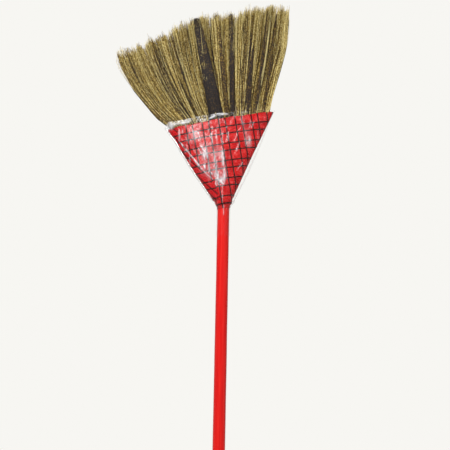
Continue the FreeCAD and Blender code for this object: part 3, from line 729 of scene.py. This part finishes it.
sleeve = {
    "flat": (0.460, 0.250),
    "cut": 0.0620,
    "columns": 300,
    "rows": 200,
    "hem": -0.0625,
    "hemRadius": 0.0124,
    "hemGap": 0.0004,
    "stand": 0.0105,  # above the mouth of the cover
    "sideDrop": 0.55,  # share of that which the sides lack, and how close to them
    "sideCurve": 14,
    "flutter": 0.5,  # share of it by which the upper edge goes up and down
    "gap": 0.0007,
    "crumple": 0.0028,
    "patches": ((0.6, 0.026, 2.6, 14.2), (0.3, 0.010, 2.4, 21.9)),
    "taut": 0.15,  # share of the creases that the hem has
    "tautHeights": (-0.05, 0.03),
    "sideStand": 0.0065,  # the sleeve stands off along the cover's right edge
    "sideStandCurve": 5,
    "sideStandTop": 0.02,  # and ends this far below the mouth
    "foldStand": 0.0014,  # above the folded strip, which ends between these places
    "foldEdge": (0.028, 0.020),
    "foldFoot": 0.01,
}
creaseHalf = 0.09  # where the head is this wide to each side, creases have their full width

# Long creases of the clear film: across and along at both ends, half-width, height and milkiness; the
# milkiness is partly painted glare.
longCreases = (
    (-0.07, 0.16, -0.071, 0.135, 0.0026, 0.001, 0.8),
    (-0.071, 0.135, -0.054, 0.108, 0.002, 0.0012, 1.0),
    (-0.054, 0.108, -0.032, 0.071, 0.002, 0.0012, 0.9),
    (-0.032, 0.071, -0.014, 0.049, 0.002, 0.001, 0.6),
    (-0.021, 0.103, -0.0195, 0.066, 0.0026, 0.0018, 0.8),
    (0.011, 0.111, 0.0086, 0.074, 0.0038, 0.0022, 0.9),
    (-0.01, 0.054, 0.0045, 0.038, 0.0028, 0.0014, 0.9),
    (0.0587, 0.176, 0.0577, 0.143, 0.003, 0.0014, 0.6),
    (0.0577, 0.143, 0.066, 0.122, 0.0034, 0.0014, 0.7),
    (0.0015, 0.034, -0.0012, 0.002, 0.0018, 0.001, 0.6),
    (-0.0002, -0.002, -0.0022, -0.022, 0.0014, 0.0008, 0.5),
    (-0.092, 0.168, -0.08, 0.172, 0.0046, 0.0012, 1.0),
    (-0.079, 0.171, -0.048, 0.1725, 0.004, 0.001, 0.5),
    (-0.007, 0.175, 0.008, 0.179, 0.0034, 0.0016, 1.0),
    (0.008, 0.179, 0.03, 0.179, 0.0024, 0.0016, 0.7),
    (0.056, 0.179, 0.066, 0.18, 0.0022, 0.001, 0.7),
)
# Milk-white places of the clear film, partly whitened film and partly painted glare: middle across and along,
# reach across and along, milkiness.
milkAndGlarePatches = (
    (-0.012, 0.088, 0.034, 0.046, 0.42),
    (-0.022, 0.08, 0.015, 0.026, 0.4),
    (0.002, 0.058, 0.014, 0.024, 0.65),
    (-0.042, 0.142, 0.02, 0.02, 0.32),
    (0.062, 0.13, 0.01, 0.028, 0.45),
    (-0.086, 0.17, 0.012, 0.012, 0.8),
    (-0.062, 0.1755, 0.02, 0.0065, 0.45),
    (0.012, 0.1825, 0.022, 0.0065, 0.75),
    (0.06, 0.1805, 0.008, 0.0034, 0.8),
)
# Fields of short creases: middle across and along, spread across and along, number, length and milkiness,
# partly painted glare.
creaseFields = (
    (-0.012, 0.08, 0.024, 0.026, 46, 0.02, 0.9),
    (-0.001, 0.05, 0.01, 0.012, 20, 0.012, 0.9),
    (-0.048, 0.12, 0.016, 0.016, 12, 0.018, 0.5),
    (0.062, 0.15, 0.01, 0.022, 8, 0.018, 0.5),
    (0.02, 0.12, 0.055, 0.035, 24, 0.018, 0.22),
    (-0.03, 0.16, 0.04, 0.008, 14, 0.012, 0.45),
)
shortCreases = {
    "seed": 1911,
    "spread": 0.7,  # of a field's own spread
    "belowNeck": 0.06,  # they mostly point to a place this far below the neck
    "turn": 0.35,
    "length": (0.4, 1.3),  # shares of the field's length, and of its milkiness, which is partly painted glare
    "milkAndGlare": (0.3, 1.2),
    "half": (0.0009, 0.0022),
    "rise": (0.0004, 0.0016),
}


def makeCreases():
    # Short creases mostly run towards the neck, where the film is gathered.
    rng = np.random.default_rng(shortCreases["seed"])
    creases = list(longCreases)
    for x, z, spreadX, spreadZ, count, length, milkAndGlare in creaseFields:
        for _ in range(count):
            x0 = x + rng.normal(0, spreadX * shortCreases["spread"])
            z0 = z + rng.normal(0, spreadZ * shortCreases["spread"])
            turn = math.atan2(x0, z0 + shortCreases["belowNeck"]) + rng.normal(0, shortCreases["turn"])
            reach = length * rng.uniform(*shortCreases["length"])
            x1 = x0 + reach * math.sin(turn)
            z1 = z0 + reach * math.cos(turn)
            half = rng.uniform(*shortCreases["half"])
            rise = rng.uniform(*shortCreases["rise"])
            creases.append((x0, z0, x1, z1, half, rise, milkAndGlare * rng.uniform(*shortCreases["milkAndGlare"])))
    return np.array(creases)


creases = makeCreases()


def coverTable():
    # Height, left, right and depth of the cover: round at the collar, and the CAD film's own sections above.
    radius = cover["collar"]
    lean = math.tan(head["tilt"])
    rows = [(z, z * lean - radius, z * lean + radius, radius) for z in cover["below"]]
    height, left, right, depth = cover["widened"]
    rows.append((height, -left * radius, right * radius, depth * radius))
    points = nodePoints(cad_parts["cover_front"])
    heights = np.round(points[:, 2], 3)
    for height in (*cover["sections"], head["mouth"]):
        ring = points[np.isclose(heights, height)]
        rows.append((height, ring[:, 0].min(), ring[:, 0].max(), -ring[:, 1].min()))
    last = np.array(rows[-1])
    rows.append(tuple(last + (last - np.array(rows[-2])) * cover["above"]))
    return np.array(rows)


coverRows = coverTable()


def coverSection(z):
    # Middle, half-width and half-depth of the head at a height.
    left, right, depth = (float(np.interp(z, coverRows[:, 0], coverRows[:, k])) for k in (1, 2, 3))
    left -= cover["corner"] * softStep(*cover["cornerHeights"], z)
    return (left + right) / 2, (right - left) / 2, depth


def softStep(start, end, value):
    # Goes smoothly from 0 at start to 1 at end, whichever of them is the larger.
    share = min(max((value - start) / (end - start), 0.0), 1.0)
    return share * share * (3 - 2 * share)


def facets(x, z, patches):
    # Crumpled film: flat patches that meet in sharp creases. Each patch table gives how much it counts.
    total = 0.0
    for share, size, stretch, seed in patches:
        spot = Vector((x / size, z / (size * stretch), seed))
        nearest = noise.voronoi(spot)[0][0]
        total += share * nearest
    return total


def taut(film, z):
    # Share of its creases that a film has at a height: few where it is bound, all of them higher up.
    return film["taut"] + (1 - film["taut"]) * softStep(*film["tautHeights"], z)


def coverRise(x, z, centre, half):
    # How far the printed film stands off its smooth form.
    rise = cover["crumple"] * facets((x - centre) / half * creaseHalf, z, cover["patches"])
    stickEnd = softStep(*cover["bumpSides"], abs(x - cover["bumpPlace"])) * softStep(*cover["bumpTop"], z)
    return rise * taut(cover, z) + cover["bump"] * stickEnd * softStep(*cover["tautHeights"], z)


def creaseAt(x, z):
    # Height and milkiness of the clear film's creases at a place on the front; the milkiness is partly
    # painted glare.
    x0, z0, x1, z1, width, rise, milkAndGlare = creases.T
    dx = x1 - x0
    dz = z1 - z0
    share = np.clip(((x - x0) * dx + (z - z0) * dz) / (dx * dx + dz * dz), 0, 1)
    away = np.hypot(x - x0 - share * dx, z - z0 - share * dz)
    taper = width * (1 - 0.5 * np.abs(2 * share - 1) ** 3)
    fade = np.clip(1 - away / taper, 0, 1)
    cloud = 0.0
    for middleX, middleZ, reachX, reachZ, thick in milkAndGlarePatches:
        distance = math.hypot((x - middleX) / reachX, (z - middleZ) / reachZ)
        cloud = max(cloud, thick * softStep(1.0, 0.35, distance))
    return float((rise * fade).max()), min(1.0, float((milkAndGlare * fade ** 0.7).max()) + cloud)


def sleeveRise(x, z, centre, half):
    rise = sleeve["crumple"] * facets((x - centre) / half * creaseHalf, z, sleeve["patches"])
    return rise * taut(sleeve, z)


def onEllipse(turn, z, off):
    # A point round the head's section at a height, off outwards from it.
    centre, half, depth = coverSection(z)
    c = math.cos(turn)
    s = math.sin(turn)
    outward = Vector((c / half, s / depth))
    outward.normalize()
    return centre + half * c + outward.x * off, depth * s + outward.y * off


def mouthEdge(x):
    edge = head["mouth"] + cover["mouthLift"] + cover["slant"] * x
    for height, rate, *seeds in cover["ripples"]:
        edge += height * noise.noise(Vector((x * rate, *seeds)))
    return edge


def layFilm(name, shape, thickness, place, closed=False):
    # A flat cut film, laid point by point; place gives each point's position, print and milkiness, which on
    # the sleeve is partly painted glare.
    bpy.ops.mesh.primitive_grid_add(x_subdivisions=shape["columns"], y_subdivisions=shape["rows"], size=1,
                                    location=(0.5, 0.5, 0))
    film = bpy.context.active_object
    film.name = name
    applyPlace(film)
    mesh = film.data
    printed = []
    milkAndGlare = mesh.attributes.new("milkAndGlare", "FLOAT", "POINT")
    for vertex in mesh.vertices:
        position, flat, hazeAndGlare = place(vertex.co.x, vertex.co.y)
        milkAndGlare.data[vertex.index].value = hazeAndGlare
        printed.append(flat)
        vertex.co = position
    layer = mesh.uv_layers[0]
    layer.name = "film"
    for loop in mesh.loops:
        layer.data[loop.index].uv = printed[loop.vertex_index]
    useOnly(film)
    if closed:
        bpy.ops.object.mode_set(mode="EDIT")
        bpy.ops.mesh.select_all(action="SELECT")
        bpy.ops.mesh.remove_doubles(threshold=1e-6)
        bpy.ops.object.mode_set(mode="OBJECT")
    bpy.ops.object.shade_smooth()
    if thickness:
        wall = film.modifiers.new("wall", "SOLIDIFY")
        wall.thickness = thickness
        wall.offset = -1
        bpy.ops.object.modifier_apply(modifier=wall.name)
    return film


def arcTable(z, steps=64):
    # Turns round the front of the section, and the length along it from the head's middle line.
    centre, half, depth = coverSection(z)
    turns = np.linspace(math.pi, 2 * math.pi, steps)
    x = centre + half * np.cos(turns)
    y = depth * np.sin(turns)
    length = np.concatenate(([0], np.cumsum(np.hypot(np.diff(x), np.diff(y)))))
    return turns, length - np.interp(0.0, x, length)


arcTables = {}


def flatPlace(turn, z):
    # The place on the flat, printed film; the back mirrors the front.
    key = round(z, 4)
    if key not in arcTables:
        arcTables[key] = arcTable(key)
    front = turn if turn <= 2 * math.pi else 4 * math.pi - turn
    return float(np.interp(front, *arcTables[key])), z


def makeCoverPanel(name, side):
    first = math.pi if side == "front" else 2 * math.pi
    shift = 0.0 if side == "front" else cover["backSeed"]

    def place(u, v):
        turn = first + u * math.pi
        centre, half, depth = coverSection(cover["skirt"] + v * (head["mouth"] - cover["skirt"]))
        top = mouthEdge(centre + half * math.cos(turn))
        z = cover["skirt"] + v * (top - cover["skirt"])
        centre, half, depth = coverSection(z)
        rise = coverRise(centre + half * math.cos(turn) + shift, z, centre, half)
        x, y = onEllipse(turn, z, rise)
        return headPoint(x, y, z), flatPlace(turn, z), 0.0

    return layFilm(name, cover, cover["thickness"], place)


def makeFold():
    # The film's left edge, folded over onto the front. Its print is the mirror of what it covers.
    widths = np.array(fold["widths"])
    low = widths[0, 0]

    def place(u, v):
        z = low + v * (mouthEdge(fold["corner"]) - low)
        centre, half, depth = coverSection(z)
        width = float(np.interp(z, widths[:, 0], widths[:, 1]))
        inner = math.acos(max(-1.0, -1 + width / half))
        turn = math.pi + (math.pi - inner) * u
        off = coverRise(centre + half * math.cos(turn), z, centre, half) + fold["gap"] + fold["thickness"]
        x, y = onEllipse(turn, z, off + fold["lift"] * u ** fold["liftCurve"])
        edge = flatPlace(math.pi, z)[0]
        return headPoint(x, y, z), (2 * edge - flatPlace(turn, z)[0], z), 0.0

    return layFilm("cover_fold", fold, fold["thickness"], place)


def sleeveTop(turn, x):
    # The upper edge flutters above the cover's mouth, and lies lower at the sides.
    c = math.cos(turn)
    stand = sleeve["stand"] * (1 - sleeve["sideDrop"] * abs(c) ** sleeve["sideCurve"])
    flutter = noise.noise(Vector((c * 5, math.sin(turn) * 2, 5.5)))
    return mouthEdge(x) + stand * (1 + sleeve["flutter"] * flutter)


def sleeveStand(turn, x, z, centre, half):
    # How far the sleeve stands off the head's smooth form, its drawn creases aside.
    front = math.pi < turn < 2 * math.pi
    off = sleeve["gap"] + sleeveRise(x, z, centre, half)
    if z > cover["skirt"]:
        off += coverRise(x if front else x + cover["backSeed"], z, centre, half)
    else:
        off += sleeve["hemRadius"] - cover["collar"] + sleeve["hemGap"]
    top = head["mouth"] - sleeve["sideStandTop"]
    along = min(max((z - cover["skirt"]) / (top - cover["skirt"]), 0.0), 1.0)
    right = max(0.0, math.cos(turn)) ** sleeve["sideStandCurve"]
    off += sleeve["sideStand"] * right * math.sin(math.pi * along) ** 0.6
    if front and x < centre and z > sleeve["foldFoot"]:
        doubled = fold["gap"] + fold["thickness"] + sleeve["foldStand"]
        off += doubled * softStep(*sleeve["foldEdge"], half + x - centre)
    return off


def makeSleeve():
    low = sleeve["hem"]

    def place(u, v):
        turn = math.pi / 2 + u * 2 * math.pi
        centre, half, depth = coverSection(low + v * (head["mouth"] + sleeve["stand"] - low))
        z = low + v * (sleeveTop(turn, centre + half * math.cos(turn)) - low)
        centre, half, depth = coverSection(z)
        x = centre + half * math.cos(turn)
        # Only the front has drawn creases, with their height and their milk-white, partly painted glare.
        rise, milkAndGlare = creaseAt(x, z) if math.pi < turn < 2 * math.pi else (0.0, 0.0)
        sleeveX, sleeveY = onEllipse(turn, z, sleeveStand(turn, x, z, centre, half) + rise)
        return headPoint(sleeveX, sleeveY, z), (turn, z), milkAndGlare

    return layFilm("clear_wrap", sleeve, 0, place, closed=True)


frontPanel = makeCoverPanel("cover_front_film", "front")
finishPiece(frontPanel, "printed_film", materials["print"], "cover_front")
backPanel = makeCoverPanel("cover_back_film", "back")
finishPiece(backPanel, "printed_film", materials["print"], "cover_back")
foldStrip = makeFold()
finishPiece(foldStrip, "printed_film", materials["fold"], "cover_side_fold")
clearWrap = makeSleeve()
finishPiece(clearWrap, "clear_film", materials["clear"], "clear_sleeve")
print("cover and sleeve ready")

handleWrap = {
    "flat": (0.0785, 0.816),
    "columns": 72,
    "rows": 330,
    "thickness": 0.0002,
    "sunk": 0.0001,  # keeps the film inside the CAD film
    "most": 0.0003,  # and this is as far as it may stand off
    "wave": 0.00022,  # the stick under the film isn't quite round
    "waveRates": (1.3, 16),  # round the stick, and waves in a metre along it
    "lap": 0.00018,  # step of the lap along the back
    "lapWidth": 0.07,  # of the way round
    "lapEnd": (0.985, 0.995),
    "pucker": 0.0005,  # shrink wrinkles at both ends
    "puckerReach": 0.012,
    "puckerRates": (4, 60),
}


def makeHandleWrap():
    # Red film, lapped along the back and shrunk onto the stick.
    low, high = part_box("handle_film")
    radius = (high.x - low.x) / 2
    lapWidth = handleWrap["lapWidth"]

    def unevenness(c, s, z, rates):
        around, along = rates
        return noise.noise(Vector((c * around, s * around, z * along)))

    def place(u, v):
        turn = math.pi / 2 + u * 2 * math.pi
        z = low.z + v * (high.z - low.z)
        c = math.cos(turn)
        s = math.sin(turn)
        lapped = max(softStep(lapWidth, 0.8 * lapWidth, u), softStep(*handleWrap["lapEnd"], u))
        fromEnd = min(z - low.z, high.z - z)
        fade = math.exp(-fromEnd / handleWrap["puckerReach"])
        pucker = fade * unevenness(c, s, z, handleWrap["puckerRates"])
        off = handleWrap["wave"] * unevenness(c, s, z, handleWrap["waveRates"])
        off += handleWrap["lap"] * lapped + handleWrap["pucker"] * pucker
        reach = radius - handleWrap["sunk"] + min(off, handleWrap["most"])
        return (reach * c, reach * s, z), (radius * turn, z), 0.0

    return layFilm("handle_wrap", handleWrap, handleWrap["thickness"], place, closed=True)


wrap = makeHandleWrap()
finishPiece(wrap, "red_film", materials["film"], "handle_film")
print("handle film ready")

paintCadNodes({
    "handle_stick": materials["wood"],
    "end_cap": materials["cap"],
    "neck_nail": materials["steel"],
    "neck_binding": materials["steel"],
    "splint_front": materials["bamboo"],
    "splint_back": materials["bamboo"],
    "splint_lashings": materials["twine"],
})

stage = {"floorRadius": 1.1, "daylight": 0.22, "backdrop": "#f7f6f2"}


def makeFloor():
    bpy.ops.mesh.primitive_circle_add(vertices=96, radius=stage["floorRadius"], fill_type="NGON",
                                      location=(0, 0, cadLow.z))
    floor = bpy.context.active_object
    floor.name = "floor"
    # Matt, nearly white paint, so that the broom's shadow shows where it stands.
    material, _, shader = newMaterial("paleFloor", Roughness=0.9)
    shader.inputs["Base Color"].default_value = hexColour("#f1f0ec")
    floor.data.materials.append(material)
    applyPlace(floor)


def makeWorld():
    # What is seen, mirrored or looked through is the pale backdrop; everything else gets the daylight.
    world = bpy.data.worlds.new("studio")
    world.use_nodes = True
    bpy.context.scene.world = world
    tree = world.node_tree
    path = addNode(tree, "ShaderNodeLightPath")
    mirrored = addMath(tree, "MAXIMUM", path.outputs["Is Glossy Ray"], path.outputs["Is Transmission Ray"])
    seen = addMath(tree, "MAXIMUM", path.outputs["Is Camera Ray"], mirrored)
    lit = tree.nodes["Background"]
    lit.inputs["Color"].default_value = hexColour("#ffffff")
    lit.inputs["Strength"].default_value = stage["daylight"]
    backdrop = addNode(tree, "ShaderNodeBackground", {"Color": hexColour(stage["backdrop"]), "Strength": 1.0})
    mix = addMixShader(tree, seen, lit, backdrop)
    tree.links.new(mix.outputs[0], tree.nodes["World Output"].inputs["Surface"])


def addLamp(name, place, target, size, power):
    data = bpy.data.lights.new(name, "AREA")
    data.shape = "RECTANGLE"
    data.size, data.size_y = size
    data.energy = power
    lamp = bpy.data.objects.new(name, data)
    bpy.context.scene.collection.objects.link(lamp)
    lamp.location = place
    lamp.rotation_euler = (Vector(target) - Vector(place)).to_track_quat("-Z", "Y").to_euler()


view = {
    "rise": math.radians(7.6),  # the camera looks up a little, and is turned a little
    "roll": math.radians(-1.08),
    "lens": 40.2,
    "across": 0.00379,
    "away": 0.98596,
    "belowNeck": 0.17164,
}


def makeCamera():
    data = bpy.data.cameras.new("camera")
    data.lens = view["lens"]
    data.sensor_width = 36
    camera = bpy.data.objects.new("camera", data)
    bpy.context.scene.collection.objects.link(camera)
    forward = Vector((0, math.cos(view["rise"]), math.sin(view["rise"])))
    level = Vector((1, 0, 0))
    upright = Vector((0, -math.sin(view["rise"]), math.cos(view["rise"])))
    right = math.cos(view["roll"]) * level - math.sin(view["roll"]) * upright
    up = math.sin(view["roll"]) * level + math.cos(view["roll"]) * upright
    place = Vector((view["across"], -view["away"], head["neck"] - view["belowNeck"]))
    camera.matrix_world = Matrix.Translation(place) @ Matrix((right, up, -forward)).transposed().to_4x4()
    bpy.context.scene.camera = camera


makeFloor()
makeWorld()
addLamp("key", (-0.6, -1.8, 1.9), (0, 0, 0.9), (0.5, 0.35), 45)
addLamp("fill", (1.4, -1.6, 1.0), (0, 0, 0.9), (0.3, 1.4), 4)
addLamp("back", (0.4, 1.4, 2.2), (0, 0, 1.0), (1.2, 0.6), 24)
makeCamera()
bpy.context.scene.view_settings.view_transform = "Standard"
